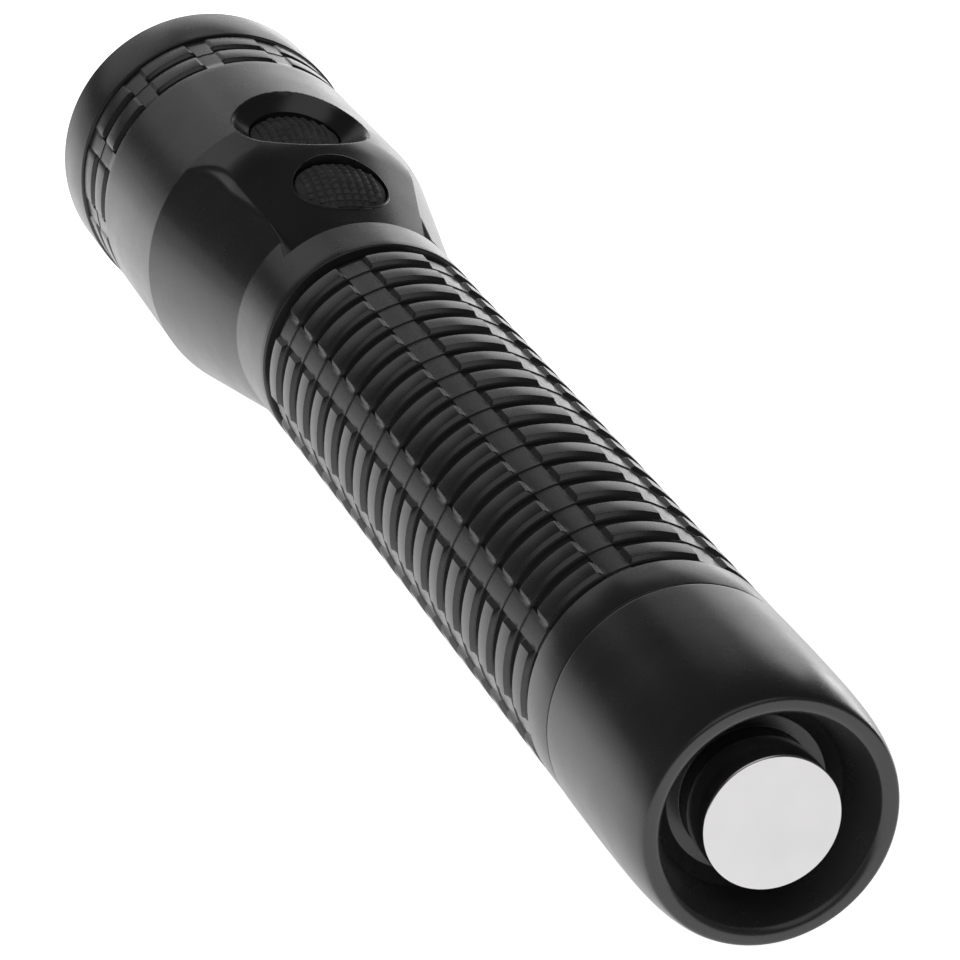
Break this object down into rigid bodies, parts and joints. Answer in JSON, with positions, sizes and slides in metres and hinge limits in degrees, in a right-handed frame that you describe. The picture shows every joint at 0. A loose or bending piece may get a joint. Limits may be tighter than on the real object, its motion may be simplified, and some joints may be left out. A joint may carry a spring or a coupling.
{
  "type": "flashlight",
  "caption": "Large cylindrical duty flashlight with a ribbed grip, flared head, rubber push buttons on a sloping pad and a magnet set in the tail cap.",
  "frame": {"origin": "centre of the bounding box, on the light's own axis half way along its length", "axes": "+Y along the axis towards the bezel and lens, -Y towards the magnet, +Z towards the button side, +X to the right seen from the tail"},
  "size_m": [0.049, 0.28, 0.049],
  "materials": {
    "black_anodised_aluminium": "satin black anodised",
    "nickel_plated_magnet": "bright nickel plate",
    "black_button_rubber": "matt moulded rubber",
    "seal_rubber": "smooth rubber",
    "clear_polycarbonate": "polished clear",
    "vacuum_metallised_mirror": "mirror",
    "raw_aluminium": "turned",
    "white_solder_mask": "printed board",
    "green_solder_mask": "printed board",
    "led_phosphor": "silicone over phosphor",
    "cell_wrap_blue": "shrink wrap over steel",
    "insulating_sleeve": "pressed fibre",
    "spring_steel": "plated wire",
    "gilt_contact": "plated",
    "dark_moulded_plastic": "moulded"
  },
  "bodies": {
    "body": {"barrel": "black_anodised_aluminium", "head_housing": "black_anodised_aluminium", "battery_cell_rear": "cell_wrap_blue", "battery_cell_front": "cell_wrap_blue", "battery_sleeve": "insulating_sleeve", "tail_oring": "seal_rubber", "head_oring": "seal_rubber", "contact_board": "green_solder_mask", "front_contact_spring": "spring_steel", "driver_board": "green_solder_mask", "switch_carrier": "dark_moulded_plastic", "rear_switch": "dark_moulded_plastic", "front_switch": "dark_moulded_plastic", "heat_sink": "raw_aluminium", "led_board": "white_solder_mask", "led_emitter": "led_phosphor", "reflector": "vacuum_metallised_mirror"},
    "tail_carriage": {"tail_contact_plate": "gilt_contact", "tail_spring": "spring_steel"},
    "tail_end": {"tail_cap": "black_anodised_aluminium", "tail_magnet": "nickel_plated_magnet"},
    "bezel_carriage": {"front_lens": "clear_polycarbonate", "lens_gasket": "seal_rubber"},
    "bezel_ring": {"bezel": "black_anodised_aluminium"},
    "rear_push": {"rear_button": "black_button_rubber", "rear_switch_plunger": "seal_rubber"},
    "front_push": {"front_button": "black_button_rubber", "front_switch_plunger": "seal_rubber"}
  },
  "joints": [
    {"name": "tail_cap_travel", "type": "slide", "parent": "body", "child": "tail_carriage", "axis": [0, -1, 0], "range_m": [0, 0.009]},
    {"name": "tail_cap_turn", "type": "hinge", "parent": "tail_carriage", "child": "tail_end", "pos_m": [0, -0.12, 0], "axis": [0, -1, 0], "range_deg": [0, 2160]},
    {"name": "bezel_travel", "type": "slide", "parent": "body", "child": "bezel_carriage", "axis": [0, 1, 0], "range_m": [0, 0.005]},
    {"name": "bezel_turn", "type": "hinge", "parent": "bezel_carriage", "child": "bezel_ring", "pos_m": [0, 0.133, 0], "axis": [0, 1, 0], "range_deg": [0, 1800]},
    {"name": "rear_button_press", "type": "slide", "parent": "body", "child": "rear_push", "axis": [0, 0.2607, -0.9654], "range_m": [0, 0.001], "stiffness_N_per_m": 900},
    {"name": "front_button_press", "type": "slide", "parent": "body", "child": "front_push", "axis": [0, 0.1483, -0.9889], "range_m": [0, 0.001], "stiffness_N_per_m": 900}
  ],
  "couplings": [
    {"joint": "tail_cap_turn", "follows": "tail_cap_travel", "rad_per_m": 4188.8},
    {"joint": "bezel_turn", "follows": "bezel_travel", "rad_per_m": 6283.2}
  ]
}
